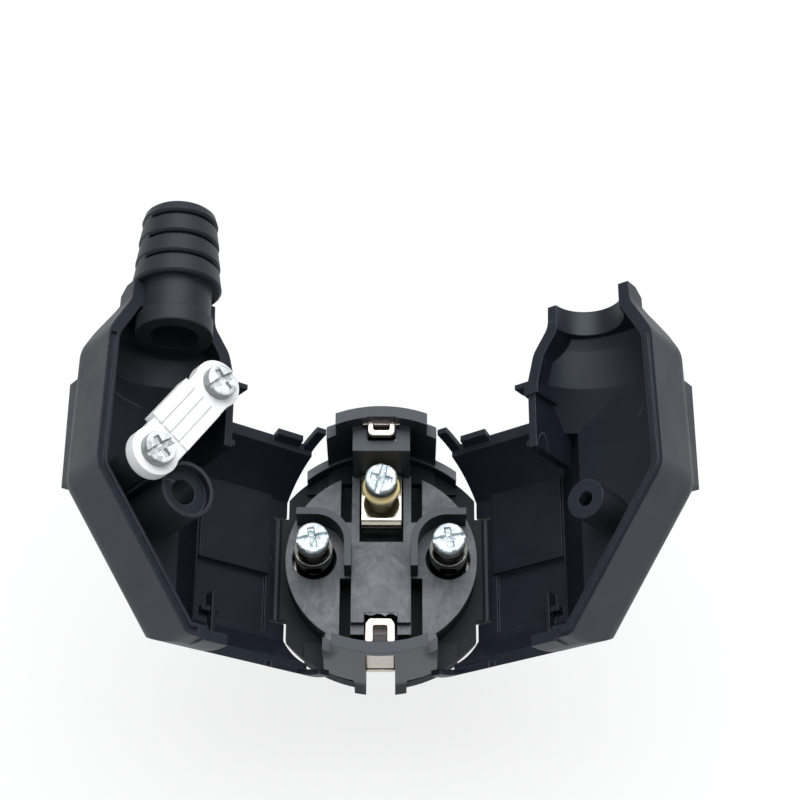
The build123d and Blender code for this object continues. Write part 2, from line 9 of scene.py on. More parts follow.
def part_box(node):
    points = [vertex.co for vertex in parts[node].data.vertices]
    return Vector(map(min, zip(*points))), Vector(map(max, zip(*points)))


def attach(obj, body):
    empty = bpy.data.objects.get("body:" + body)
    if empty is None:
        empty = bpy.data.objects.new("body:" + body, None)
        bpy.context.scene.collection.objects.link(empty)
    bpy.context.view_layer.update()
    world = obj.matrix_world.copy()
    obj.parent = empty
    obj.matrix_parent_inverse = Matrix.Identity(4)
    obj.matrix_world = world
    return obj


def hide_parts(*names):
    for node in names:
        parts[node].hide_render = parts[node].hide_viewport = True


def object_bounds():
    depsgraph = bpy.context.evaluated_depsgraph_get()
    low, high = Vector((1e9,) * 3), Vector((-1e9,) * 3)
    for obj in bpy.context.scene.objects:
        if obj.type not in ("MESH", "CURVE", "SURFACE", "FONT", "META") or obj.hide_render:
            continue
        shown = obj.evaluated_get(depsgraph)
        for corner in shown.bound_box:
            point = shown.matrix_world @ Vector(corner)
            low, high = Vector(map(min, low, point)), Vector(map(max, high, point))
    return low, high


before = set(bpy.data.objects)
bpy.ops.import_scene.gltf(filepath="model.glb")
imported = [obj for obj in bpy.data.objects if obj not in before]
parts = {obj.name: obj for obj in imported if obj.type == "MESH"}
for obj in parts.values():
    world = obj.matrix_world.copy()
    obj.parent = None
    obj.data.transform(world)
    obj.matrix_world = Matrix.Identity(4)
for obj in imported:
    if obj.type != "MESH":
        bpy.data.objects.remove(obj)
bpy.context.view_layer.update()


# Contact carrier. A black thermoset moulding that holds all the metal: base plate, terminal disc,
# two upright lips, guards round the line terminals and a hinge clip along each flat.
# It was pressed in a polished tool, so it has a satin skin and cloudy flow; its sharp arrises are painted pale, a
# painted highlight.

def linear(code):
    """Linear colour of an sRGB hex value."""
    channels = [int(code[i:i + 2], 16) / 255 for i in (1, 3, 5)]
    return [c / 12.92 if c <= 0.04045 else ((c + 0.055) / 1.055) ** 2.4 for c in channels] + [1.0]


def add(material, kind, inputs=None, **settings):
    """Adds one shader node, applies its settings and fills its sockets from values or other sockets."""
    made = material.node_tree.nodes.new(kind)
    for name, value in settings.items():
        setattr(made, name, value)
    for socket, value in (inputs or {}).items():
        if isinstance(value, bpy.types.NodeSocket):
            material.node_tree.links.new(value, made.inputs[socket])
        else:
            made.inputs[socket].default_value = value
    return made


def finish_of(name, roughness, metallic=0.0, ior=1.5):
    """New surface finish with its shader and the coordinates of the piece, both ready for patterns."""
    material = bpy.data.materials.new(name)
    material.use_nodes = True
    shader = material.node_tree.nodes["Principled BSDF"]
    shader.inputs["Roughness"].default_value = roughness
    shader.inputs["Metallic"].default_value = metallic
    if metallic == 0.0:
        shader.inputs["IOR"].default_value = ior
    place = add(material, "ShaderNodeTexCoord").outputs["Object"]
    return material, shader, place


def wire(material, source, shader, socket):
    """Leads a socket of a pattern into the shader."""
    material.node_tree.links.new(source, shader.inputs[socket])


def moulded(name, dark, light, edge_highlight, grain_mm, grain_depth_mm, edge_mm, roughness, ior,
            wear="#000000", amount=0.0):
    """Moulded plastic: clouded colour, fine skin grain, softly rounded edges painted paler as a painted highlight,
    and hairline scuffs.
    Clouds come from a pattern of 7 mm, scuffs from one of 12 mm and the breaks in the painted edge highlight from
    one of 1.4 mm."""
    material, shader, place = finish_of(name, roughness[0], ior=ior)
    cloud = add(material, "ShaderNodeTexNoise", {"Vector": place, "Scale": 1 / 0.007, "Detail": 5.0,
                                                 "Roughness": 0.6, "Distortion": 0.8})
    grain = add(material, "ShaderNodeTexNoise", {"Vector": place, "Scale": 1000 / grain_mm, "Detail": 3.0})
    round_edge = add(material, "ShaderNodeBevel", {"Radius": edge_mm / 1000}, samples=6)
    facing = add(material, "ShaderNodeNewGeometry").outputs["True Normal"]
    bent = add(material, "ShaderNodeVectorMath", {0: round_edge.outputs[0], 1: facing}, operation="DOT_PRODUCT")
    highlight_mask = add(material, "ShaderNodeMapRange", {"Value": bent.outputs["Value"], "From Min": 0.98,
                                                "From Max": 0.72, "To Min": 0.0, "To Max": 1.0})
    body = add(material, "ShaderNodeMix", {0: cloud.outputs["Fac"], 6: linear(dark), 7: linear(light)},
               data_type="RGBA")
    # scuffs lie where a coarse pattern passes its middle value, and only in some places
    line = add(material, "ShaderNodeTexNoise", {"Vector": place, "Scale": 1 / 0.012, "Detail": 0.6,
                                                "Distortion": 0.3})
    off = add(material, "ShaderNodeMath", {0: line.outputs["Fac"], 1: 0.5}, operation="SUBTRACT")
    near = add(material, "ShaderNodeMath", {0: off.outputs[0]}, operation="ABSOLUTE")
    hair = add(material, "ShaderNodeMapRange", {"Value": near.outputs[0], "From Min": 0.004, "From Max": 0.001,
                                                "To Min": 0.0, "To Max": amount})
    where = add(material, "ShaderNodeTexNoise", {"Vector": place, "Scale": 1 / 0.006, "Detail": 2.0})
    some = add(material, "ShaderNodeMapRange", {"Value": where.outputs["Fac"], "From Min": 0.61, "From Max": 0.69,
                                                "To Min": 0.0, "To Max": 1.0})
    scuff = add(material, "ShaderNodeMath", {0: hair.outputs[0], 1: some.outputs[0]}, operation="MULTIPLY")
    worn = add(material, "ShaderNodeMix", {0: scuff.outputs[0], 6: body.outputs[2], 7: linear(wear)},
               data_type="RGBA")
    # the edges are painted paler, a painted highlight, broken off here and there by a noise
    edge_breakup = add(material, "ShaderNodeTexNoise", {"Vector": place, "Scale": 1 / 0.0014, "Detail": 3.0,
                                               "Roughness": 0.6})
    left = add(material, "ShaderNodeMapRange", {"Value": edge_breakup.outputs["Fac"], "From Min": 0.38, "From Max": 0.66,
                                                "To Min": 0.3, "To Max": 1.0})
    broken = add(material, "ShaderNodeMath", {0: highlight_mask.outputs[0], 1: left.outputs[0]}, operation="MULTIPLY")
    skin = add(material, "ShaderNodeMix", {0: broken.outputs[0], 6: worn.outputs[2], 7: linear(edge_highlight)},
               data_type="RGBA")
    wire(material, skin.outputs[2], shader, "Base Color")
    # daylight leaves a cold gloss on black plastic
    shader.inputs["Specular Tint"].default_value = (0.84, 0.91, 1.0, 1.0)
    gloss = add(material, "ShaderNodeMapRange", {"Value": cloud.outputs["Fac"], "From Min": 0.3,
                                                 "From Max": 0.7, "To Min": roughness[0], "To Max": roughness[1]})
    wire(material, gloss.outputs[0], shader, "Roughness")
    bump = add(material, "ShaderNodeBump", {"Strength": 1.0, "Distance": grain_depth_mm / 1000,
                                            "Height": grain.outputs["Fac"], "Normal": round_edge.outputs[0]})
    wire(material, bump.outputs[0], shader, "Normal")
    return material, shader, place, skin


phenolic, shader, place, skin = moulded("satin_black_phenolic", "#1b1e25", "#25292f", "#7a7e85", 0.5, 0.006, 0.16,
                                        (0.36, 0.48), 1.5, "#8b9094", 0.4)
# painted reflection: the level tops of the disc and its raised plate are painted grey for the top lamp's
# reflection, broken into streaks; the rim below stays dark
REFLECTION_TOP, REFLECTION_FOOT, SHADE_TOP = 0.0078, 0.0048, 0.0050
height = add(phenolic, "ShaderNodeSeparateXYZ", {0: place}).outputs["Z"]
low = add(phenolic, "ShaderNodeMapRange", {"Value": height, "From Min": REFLECTION_TOP, "From Max": REFLECTION_TOP - 0.001,
                                           "To Min": 0.0, "To Max": 1.0})
high = add(phenolic, "ShaderNodeMapRange", {"Value": height, "From Min": REFLECTION_FOOT,
                                            "From Max": REFLECTION_FOOT + 0.0005, "To Min": 0.1, "To Max": 1.0})
tops = add(phenolic, "ShaderNodeMath", {0: low.outputs[0], 1: high.outputs[0]}, operation="MULTIPLY")
upright = add(phenolic, "ShaderNodeSeparateXYZ",
              {0: add(phenolic, "ShaderNodeNewGeometry").outputs["True Normal"]})
level = add(phenolic, "ShaderNodeMapRange", {"Value": upright.outputs["Z"], "From Min": 0.9, "From Max": 1.0,
                                             "To Min": 0.0, "To Max": 1.0})
reflection_mottle = add(phenolic, "ShaderNodeTexNoise", {"Vector": place, "Scale": 1 / 0.0045, "Detail": 6.0,
                                              "Roughness": 0.7, "Distortion": 1.5})
drawn = add(phenolic, "ShaderNodeMapping", {0: place, "Rotation": (0.0, 0.0, 0.6), "Scale": (1.0, 0.14, 1.0)})
fine_noise = add(phenolic, "ShaderNodeTexNoise", {"Vector": drawn.outputs[0], "Scale": 1 / 0.0007, "Detail": 4.0,
                                               "Roughness": 0.75})
mixed = add(phenolic, "ShaderNodeMix", {0: 0.22, 2: reflection_mottle.outputs["Fac"], 3: fine_noise.outputs["Fac"]})
reflection_breakup = add(phenolic, "ShaderNodeMapRange", {"Value": mixed.outputs[0], "From Min": 0.36, "From Max": 0.66,
                                            "To Min": 0.15, "To Max": 1.0})
flat_low = add(phenolic, "ShaderNodeMath", {0: tops.outputs[0], 1: level.outputs[0]}, operation="MULTIPLY")
painted_reflection = add(phenolic, "ShaderNodeMath", {0: flat_low.outputs[0], 1: reflection_breakup.outputs[0]}, operation="MULTIPLY")
with_reflection = add(phenolic, "ShaderNodeMix", {0: painted_reflection.outputs[0], 6: skin.outputs[2], 7: linear("#686a6d")},
            data_type="RGBA")
# below the disc top the skin is painted deep black as shade in the recesses, and made duller
shade_mask = add(phenolic, "ShaderNodeMapRange", {"Value": height, "From Min": SHADE_TOP, "From Max": SHADE_TOP - 0.0014,
                                            "To Min": 0.0, "To Max": 0.75})
shade = add(phenolic, "ShaderNodeMix", {0: shade_mask.outputs[0], 6: with_reflection.outputs[2], 7: linear("#0a0b0f")},
            data_type="RGBA")
wire(phenolic, shade.outputs[2], shader, "Base Color")
dull = add(phenolic, "ShaderNodeMapRange", {"Value": shade_mask.outputs[0], "From Min": 0.0, "From Max": 0.75,
                                            "To Min": 0.42, "To Max": 0.78})
wire(phenolic, dull.outputs[0], shader, "Roughness")
parts["contact_carrier"].material_slots[0].material = phenolic


# Moulding flash. Where the tool closed over the notch for the lower earth contact, a thin ragged fin
# of the carrier's own plastic is left along the edge; it is painted pale grey, a painted highlight where it
# catches the light.

NOTCH_HALF, NOTCH_Y, NOTCH_Z, FIN_T = 0.0022, -0.0082, 0.0064, 0.00008
stations = 56
chance = np.random.default_rng(11)
along = np.linspace(-NOTCH_HALF, NOTCH_HALF, stations)
coarse = np.interp(along, np.linspace(-NOTCH_HALF, NOTCH_HALF, 9), chance.uniform(0.0, 0.00042, 9))
reach = 0.00008 + coarse + chance.uniform(0.0, 0.00006, stations)
curl = np.interp(along, np.linspace(-NOTCH_HALF, NOTCH_HALF, 6), chance.uniform(-0.00012, 0.00004, 6))
root_y = np.full(stations, NOTCH_Y + 0.00006)
top = np.full(stations, NOTCH_Z - 0.00002)
rings = np.stack([
    np.stack([along, root_y, top], 1),
    np.stack([along, NOTCH_Y - reach, top + curl], 1),
    np.stack([along, NOTCH_Y - reach, top + curl - FIN_T * 0.5], 1),
    np.stack([along, root_y, top - FIN_T], 1),
], 1)
step = np.arange(stations - 1)[:, None] * 4
ring = np.arange(4)[None, :]
nxt = (ring + 1) % 4
quads = np.stack([step + ring, step + nxt, step + 4 + nxt, step + 4 + ring], 2).reshape(-1, 4).tolist()
last = 4 * (stations - 1)
caps = [[3, 2, 1, 0], [last, last + 1, last + 2, last + 3]]
fin_mesh = bpy.data.meshes.new("moulding_flash")
fin_mesh.from_pydata(rings.reshape(-1, 3).tolist(), [], quads + caps)
fin = bpy.data.objects.new("moulding_flash", fin_mesh)
bpy.context.scene.collection.objects.link(fin)
fin_mesh.materials.append(moulded("thin_phenolic_flash", "#5d6167", "#7b7f84", "#8a8e93", 0.3, 0.003, 0.03,
                                  (0.30, 0.42), 1.5)[0])
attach(fin, "carrier")


# Line pins. Solid brass turned to size, nickel plated; in front they are the contact pins and
# behind the carrier they end as barrels that take the wires.
# The nickel gives a slightly warm mirror with duller patches.

def plated(name, tint, patch, roughness, patch_mm, metallic=1.0, dent_mm=0.003):
    """Plated metal: bright skin with soft patches of a darker tone and a fine uneven surface."""
    material, shader, place = finish_of(name, roughness[0], metallic=metallic)
    patches = add(material, "ShaderNodeTexNoise", {"Vector": place, "Scale": 1000 / patch_mm, "Detail": 4.0,
                                                   "Roughness": 0.65})
    tone = add(material, "ShaderNodeMix", {0: patches.outputs["Fac"], 6: linear(patch), 7: linear(tint)},
               data_type="RGBA")
    wire(material, tone.outputs[2], shader, "Base Color")
    gloss = add(material, "ShaderNodeMapRange", {"Value": patches.outputs["Fac"], "From Min": 0.3,
                                                 "From Max": 0.7, "To Min": roughness[0], "To Max": roughness[1]})
    wire(material, gloss.outputs[0], shader, "Roughness")
    round_edge = add(material, "ShaderNodeBevel", {"Radius": 0.00012}, samples=6)
    fine_noise = add(material, "ShaderNodeTexNoise", {"Vector": place, "Scale": 1000 / 0.25, "Detail": 2.0})
    bump = add(material, "ShaderNodeBump", {"Strength": 1.0, "Distance": dent_mm / 1000,
                                            "Height": fine_noise.outputs["Fac"], "Normal": round_edge.outputs[0]})
    wire(material, bump.outputs[0], shader, "Normal")
    return material, shader, place, tone


nickel, shader, place, tone = plated("nickel_plated_brass", "#a5a29c", "#7d7a75", (0.10, 0.20), 1.4)
# painted shade: the barrels behind the carrier are painted dark in their wells, for shade and the dark they
# reflect, except for the front of the turned rim
BARREL_FOOT, RIM_FOOT, RIM_FRONT = 0.0026, 0.00904, -0.0016
height = add(nickel, "ShaderNodeSeparateXYZ", {0: place}).outputs["Z"]
behind = add(nickel, "ShaderNodeMapRange", {"Value": height, "From Min": BARREL_FOOT,
                                            "From Max": BARREL_FOOT + 0.0004, "To Min": 0.0, "To Max": 0.85})
rim = add(nickel, "ShaderNodeMapRange", {"Value": height, "From Min": RIM_FOOT + 0.00008, "From Max": RIM_FOOT,
                                         "To Min": 0.0, "To Max": 1.0})
backward = add(nickel, "ShaderNodeSeparateXYZ", {0: place}).outputs["Y"]
rear = add(nickel, "ShaderNodeMapRange", {"Value": backward, "From Min": RIM_FRONT,
                                          "From Max": RIM_FRONT + 0.0006, "To Min": 0.0, "To Max": 1.0})
hidden = add(nickel, "ShaderNodeMath", {0: rim.outputs[0], 1: rear.outputs[0]}, operation="MAXIMUM")
dull = add(nickel, "ShaderNodeMath", {0: behind.outputs[0], 1: hidden.outputs[0]}, operation="MULTIPLY")
barrel_shade = add(nickel, "ShaderNodeMix", {0: dull.outputs[0], 6: tone.outputs[2], 7: linear("#2c2d2c")},
              data_type="RGBA")
wire(nickel, barrel_shade.outputs[2], shader, "Base Color")
for name in ("live_pin", "neutral_pin"):
    parts[name].material_slots[0].material = nickel


# Terminal screws. Steel, zinc plated and passivated, with a slot right across the head and a tapered
# cross recess in its middle. The plating gives a cold blue white that breaks up into small frosted
# facets; the shanks below the heads are painted dark as shade. The surfaces stand for the plain solids of the
# frame.

def frosted_zinc(name, tint, patch, metallic, dark_facets, facet_mm):
    """Zinc plating on steel: pale blue, part mirror and part frost, in facets of the given size."""
    material, shader, place, tone = plated(name, tint, patch, (0.30, 0.46), 0.7, metallic)
    facets = add(material, "ShaderNodeTexVoronoi", {"Vector": place, "Scale": 1000 / facet_mm})
    round_edge = add(material, "ShaderNodeBevel", {"Radius": 0.00015}, samples=6)
    bump = add(material, "ShaderNodeBump", {"Strength": 0.8, "Distance": 0.00012,
                                            "Height": facets.outputs["Distance"], "Normal": round_edge.outputs[0]})
    wire(material, bump.outputs[0], shader, "Normal")
    # some facets are painted dark, a painted reflection of the dark room
    pick = add(material, "ShaderNodeSeparateColor", {0: facets.outputs["Color"]}).outputs[0]
    turned_off = add(material, "ShaderNodeMapRange", {"Value": pick, "From Min": 0.55, "From Max": 0.9,
                                                      "To Min": 0.0, "To Max": dark_facets})
    tone = add(material, "ShaderNodeMix", {0: turned_off.outputs[0], 6: tone.outputs[2], 7: linear("#5d686e")},
               data_type="RGBA")
    wire(material, tone.outputs[2], shader, "Base Color")
    return material, shader, place, tone


terminal_zinc, shader, place, tone = frosted_zinc("blue_zinc_terminal_steel", "#e6f0f3", "#a3b4bb", 0.45, 0.5,
                                                  0.55)
# the shanks below the heads are painted dark as shade
HEAD_FOOT = 0.0121
height = add(terminal_zinc, "ShaderNodeSeparateXYZ", {0: place}).outputs["Z"]
shank = add(terminal_zinc, "ShaderNodeMapRange", {"Value": height, "From Min": HEAD_FOOT + 0.0003,
                                                  "From Max": HEAD_FOOT, "To Min": 0.0, "To Max": 0.85})
shank_shade = add(terminal_zinc, "ShaderNodeMix", {0: shank.outputs[0], 6: tone.outputs[2], 7: linear("#2a2b2a")},
            data_type="RGBA")
wire(terminal_zinc, shank_shade.outputs[2], shader, "Base Color")


def turned(profile, columns, ring=False):
    """Surface of revolution: every profile point (radius, height) goes round the axis in equal steps.
    The profile starts and ends on the axis, or is a closed ring."""
    angle = np.arange(columns) * 2 * np.pi / columns
    around = profile if ring else profile[1:-1]
    count = len(around)
    points = np.stack([around[:, :1] * np.cos(angle), around[:, :1] * np.sin(angle),
                       np.repeat(around[:, 1:], columns, 1)], 2).reshape(-1, 3)
    row = np.arange(count if ring else count - 1)[:, None]
    col = np.arange(columns)[None, :]
    here, below, nxt = row * columns, (row + 1) % count * columns, (col + 1) % columns
    faces = np.stack([here + col, below + col, below + nxt, here + nxt], 2).reshape(-1, 4).tolist()
    if not ring:
        col, nxt, pole, foot = col[0], nxt[0], np.full(columns, len(points)), (count - 1) * columns
        faces += np.stack([pole, col, nxt], 1).tolist()
        faces += np.stack([pole + 1, foot + nxt, foot + col], 1).tolist()
        points = np.concatenate([points, [[0.0, 0.0, profile[0, 1]], [0.0, 0.0, profile[-1, 1]]]])
    return points, faces


def stands_for(name, node, points, faces, finish, body):
    """Makes a piece of a worked-out surface and lets it stand for its node.
    Points that fall together are joined, and corners of more than 32 degrees stay sharp."""
    mesh = bpy.data.meshes.new(name)
    mesh.from_pydata(np.asarray(points).tolist(), [], faces)
    joined = bmesh.new()
    joined.from_mesh(mesh)
    bmesh.ops.remove_doubles(joined, verts=joined.verts, dist=2e-7)
    joined.to_mesh(mesh)
    joined.free()
    mesh.polygons.foreach_set("use_smooth", np.ones(len(mesh.polygons), dtype=bool))
    mesh.set_sharp_from_angle(angle=math.radians(32))
    mesh.materials.append(finish)
    piece = bpy.data.objects.new(name, mesh)
    bpy.context.scene.collection.objects.link(piece)
    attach(piece, body)
    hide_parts(node)


HEAD_EDGE, WALL_RUN, COLUMNS = 0.00032, 0.00008, 240
SLOT_HALF, SLOT_DEEP = 0.00034, 0.00045
ARM_HALF, ARM_REACH, CROSS_REACH, RECESS_DEEP = 0.00042, 0.0013, 0.00145, 0.0007


def screw(name, node, finish, body, out, across, turn, head_h, shank_r):
    """Screw with its head along out: a turned profile whose top is lowered to the floors of slot and recess.
    The slot lies turn degrees from across, and its floor is where the distance to its middle line is small.
    The two arms of the recess are deepest at the axis and rise toward their ends."""
    mesh = parts[node].data
    solid = np.empty(len(mesh.vertices) * 3)
    mesh.vertices.foreach_get("co", solid)
    axes = np.array([across, np.cross(out, across), out])
    reach = solid.reshape(-1, 3) @ axes.T
    low, high = reach.min(0), reach.max(0)
    head_r, foot = (high[0] - low[0]) / 2, low[2] - high[2]
    flat = np.linspace(0.0, head_r - HEAD_EDGE, 38)
    bend = np.linspace(0.0, np.pi / 2, 7)[1:]
    wall = np.linspace(-HEAD_EDGE, -head_h, 12)[1:]
    profile = np.concatenate([
        np.stack([flat, flat * 0.0], 1),
        np.stack([head_r - HEAD_EDGE + HEAD_EDGE * np.sin(bend), HEAD_EDGE * (np.cos(bend) - 1)], 1),
        np.stack([wall * 0.0 + head_r, wall], 1),
        [[shank_r, -head_h], [shank_r, foot], [0.0, foot]],
    ])
    points, faces = turned(profile, COLUMNS)
    angle = math.radians(turn)
    run = points[:, 0] * math.cos(angle) + points[:, 1] * math.sin(angle)
    off = points[:, 1] * math.cos(angle) - points[:, 0] * math.sin(angle)

    def within(distance, half):
        """One inside the half width, nothing outside, with a short steep wall between."""
        return np.clip((half - np.abs(distance)) / WALL_RUN + 0.5, 0.0, 1.0)

    slot = within(off, SLOT_HALF) * SLOT_DEEP
    cross = within(run, ARM_HALF) * within(off, CROSS_REACH) * (RECESS_DEEP - 0.25 * np.abs(off))
    arm = within(off, ARM_HALF) * within(run, ARM_REACH) * (RECESS_DEEP - 0.2 * np.abs(run))
    floor = -np.maximum(np.maximum(slot, cross), arm)
    on_head = points[:, 2] > -head_h + 0.00001
    points[:, 2] = np.where(on_head, np.minimum(points[:, 2], floor), points[:, 2])
    centre = np.array([(low[0] + high[0]) / 2, (low[1] + high[1]) / 2, high[2]])
    stands_for(name, node, (points + centre) @ axes, faces, finish, body)


TERMINAL_HEAD_H, TERMINAL_SHANK_R = 0.0019, 0.0015
for name, node, turn in (("live_screw", "live_terminal_screw", 11),
                         ("neutral_screw", "neutral_terminal_screw", 11),
                         ("earth_screw", "earth_terminal_screw", 76)):
    screw(name, node, terminal_zinc, "carrier", (0, 0, 1), (1, 0, 0), turn, TERMINAL_HEAD_H, TERMINAL_SHANK_R)


# Earth contacts. Sprung brass strip, stamped, bent and tinned, which leaves a bright white metal; one
# stands behind the slot of each lip. Its top is a fork with rounded corners, and its leg comes down
# again in the slot. The shapes stand for the plain solids of the frame.

def stamped(corners, top, depth, burr=0.08):
    """Stamped sheet in mm: each corner (x, y, radius) of the outline becomes a parabola between its sides.
    The outline goes straight down from its top, where the edge is broken by the width of the burr."""
    at, radius = corners[:, :2], corners[:, 2:]
    to_last, to_next = np.roll(at, 1, 0) - at, np.roll(at, -1, 0) - at
    begin = at + radius * to_last / np.linalg.norm(to_last, axis=1, keepdims=True)
    end = at + radius * to_next / np.linalg.norm(to_next, axis=1, keepdims=True)
    t = np.linspace(0.0, 1.0, 7)[None, :, None]
    line = (1 - t) ** 2 * begin[:, None] + 2 * t * (1 - t) * at[:, None] + t ** 2 * end[:, None]
    line = line.reshape(-1, 2)
    run = np.roll(line, -1, 0) - line
    run /= np.linalg.norm(run, axis=1, keepdims=True)
    inward = np.stack([-run[:, 1], run[:, 0]], 1)
    mitre = inward + np.roll(inward, 1, 0)
    mitre /= 1 + np.sum(inward * np.roll(inward, 1, 0), axis=1, keepdims=True)
    count = len(line)
    levels = ((line, top - depth), (line, top - burr), (line + burr * mitre, top))
    points = np.concatenate([np.concatenate([plan, np.full((count, 1), z)], 1) for plan, z in levels])
    k = np.arange(count)
    nxt = (k + 1) % count
    side = np.stack([k, nxt, nxt + count, k + count], 1)
    faces = side.tolist() + (side + count).tolist() + [k[::-1].tolist(), (k + 2 * count).tolist()]
    return points, faces


def upright_strip(x, y0, y1, z0, z1):
    """Strip of the contact in mm, from -x to x, with nearly sharp edges."""
    sharp, burr = 0.04, 0.03
    outline = np.array([[-x, y0, sharp], [x, y0, sharp], [x, y1, sharp], [-x, y1, sharp]])
    return stamped(outline, z1, z1 - z0, burr)


def bent_contact(name, node, sheets):
    """Joins the sheets of one contact, given in mm, into a piece."""
    starts = np.cumsum([0] + [len(points) for points, _ in sheets])
    points = np.concatenate([points for points, _ in sheets]) / 1000
    faces = [[v + start for v in face] for (_, group), start in zip(sheets, starts.tolist()) for face in group]
    stands_for(name, node, points, faces, tinned, "carrier")


tinned, shader, place, tone = plated("tinned_spring_brass", "#d3cac2", "#a1968c", (0.18, 0.30), 1.8)
# painted shade: the upright strip under the fork is painted brownish, and near black where it goes down into the
# carrier and in the slot
FORK_FOOT, PIT_TOP, SLOT_Y, LEG_Y = 0.014, 0.0113, 0.01652, 0.01515
height = add(tinned, "ShaderNodeSeparateXYZ", {0: place}).outputs["Z"]
fork_shade = add(tinned, "ShaderNodeMapRange", {"Value": height, "From Min": FORK_FOOT + 0.00008,
                                              "From Max": FORK_FOOT, "To Min": 0.0, "To Max": 0.8})
brown = add(tinned, "ShaderNodeMix", {0: fork_shade.outputs[0], 6: tone.outputs[2], 7: linear("#5f574f")},
            data_type="RGBA")
sunk = add(tinned, "ShaderNodeMapRange", {"Value": height, "From Min": PIT_TOP + 0.0003, "From Max": PIT_TOP,
                                          "To Min": 0.0, "To Max": 0.92})
buried = add(tinned, "ShaderNodeMix", {0: sunk.outputs[0], 6: brown.outputs[2], 7: linear("#16151a")},
             data_type="RGBA")
depth = add(tinned, "ShaderNodeSeparateXYZ", {0: place}).outputs["Y"]
in_slot = add(tinned, "ShaderNodeMapRange", {"Value": depth, "From Min": SLOT_Y, "From Max": SLOT_Y + 0.00004,
                                             "To Min": 0.0, "To Max": 0.9})
shaded = add(tinned, "ShaderNodeMix", {0: in_slot.outputs[0], 6: buried.outputs[2], 7: linear("#16151a")},
             data_type="RGBA")
# the outer faces of the legs, which touch the socket, are left bright, without the painted shade
across_slot = add(tinned, "ShaderNodeSeparateXYZ",
                  {0: add(tinned, "ShaderNodeNewGeometry").outputs["True Normal"]})
looks_out = add(tinned, "ShaderNodeMath", {0: depth, 1: across_slot.outputs["Y"]}, operation="MULTIPLY")
inner_face = add(tinned, "ShaderNodeMapRange", {"Value": looks_out.outputs[0], "From Min": 0.0100,
                                                "From Max": 0.0125, "To Min": 1.0, "To Max": 0.0})
from_axis = add(tinned, "ShaderNodeMath", {0: depth}, operation="ABSOLUTE")
inside = add(tinned, "ShaderNodeMapRange", {"Value": from_axis.outputs[0], "From Min": LEG_Y,
                                            "From Max": LEG_Y + 0.0001, "To Min": 1.0, "To Max": 0.0})
dark_side = add(tinned, "ShaderNodeMath", {0: inner_face.outputs[0], 1: inside.outputs[0]}, operation="MAXIMUM")
both = add(tinned, "ShaderNodeMix", {0: dark_side.outputs[0], 6: tone.outputs[2], 7: shaded.outputs[2]},
           data_type="RGBA")
wire(tinned, both.outputs[2], shader, "Base Color")

FORK_UPPER_TOP, FORK_LOWER_TOP = 15.6, 14.8
upper_fork = np.array([[-1.85, 16.75, 0.25], [-1.85, 13.88, 0.8], [1.85, 13.88, 0.8], [1.85, 16.75, 0.25],
                       [1.05, 16.75, 0.25], [1.05, 14.72, 0.3], [-1.05, 14.72, 0.3], [-1.05, 16.75, 0.25]])
bent_contact("upper_earth_spring", "earth_contact_upper", [
    stamped(upper_fork, FORK_UPPER_TOP, 0.75, 0.1),
    upright_strip(1.85, 14.2, 14.7, 2.4, 14.9),     # strip down to the link
    upright_strip(1.94, 16.58, 16.75, 8.6, 15.5),   # leg in the slot
    upright_strip(1.1, 16.2, 16.35, 13.9, 15.3),    # tongue between the prongs
    upright_strip(2.55, 15.52, 15.88, 15.1, 15.5),  # ears beside the fork
])
lower_fork = np.array([[-1.97, -15.4, 0.3], [-0.9, -15.4, 0.3], [-0.9, -13.12, 0.3], [0.9, -13.12, 0.3],
                       [0.9, -15.4, 0.3], [1.97, -15.4, 0.3], [1.93, -12.85, 0.2], [1.42, -12.14, 0.2],
                       [-1.42, -12.14, 0.2], [-1.93, -12.85, 0.2]])
bent_contact("lower_earth_spring", "earth_contact_lower", [
    stamped(lower_fork, FORK_LOWER_TOP, 0.7),
    upright_strip(1.6, -13.16, -12.9, 2.4, 14.2),     # strip down to the link
    upright_strip(1.85, -15.62, -15.2, 9.8, 14.16),   # bend under the prongs
    upright_strip(0.95, -15.62, -15.48, 14.1, 14.78),  # tongue between the prongs
    upright_strip(1.85, -16.0, -15.5, 6.3, 14.0),     # leg in the slot
])


# Earth terminal. A stamped link whose strap is bent over in its pocket, and a turned bush with a flared
# collar under the screw, which stands for its plain solid. The bush is bare yellow brass, frosted and
# bright at its collar and painted a darker brown below it; the strap is paler, rolled bright, and mirrors its dark
# pocket.

brass, shader, place, tone = plated("bare_brass", "#fff4c4", "#ffe596", (0.3, 0.42), 1.6, 0.0)
# the bush is painted a darker brown below its collar
COLLAR_FOOT = 0.0094
height = add(brass, "ShaderNodeSeparateXYZ", {0: place}).outputs["Z"]
stem = add(brass, "ShaderNodeMapRange", {"Value": height, "From Min": COLLAR_FOOT + 0.0003,
                                         "From Max": COLLAR_FOOT, "To Min": 0.0, "To Max": 0.8})
stem_darker = add(brass, "ShaderNodeMix", {0: stem.outputs[0], 6: tone.outputs[2], 7: linear("#4d4329")},
              data_type="RGBA")
wire(brass, stem_darker.outputs[2], shader, "Base Color")

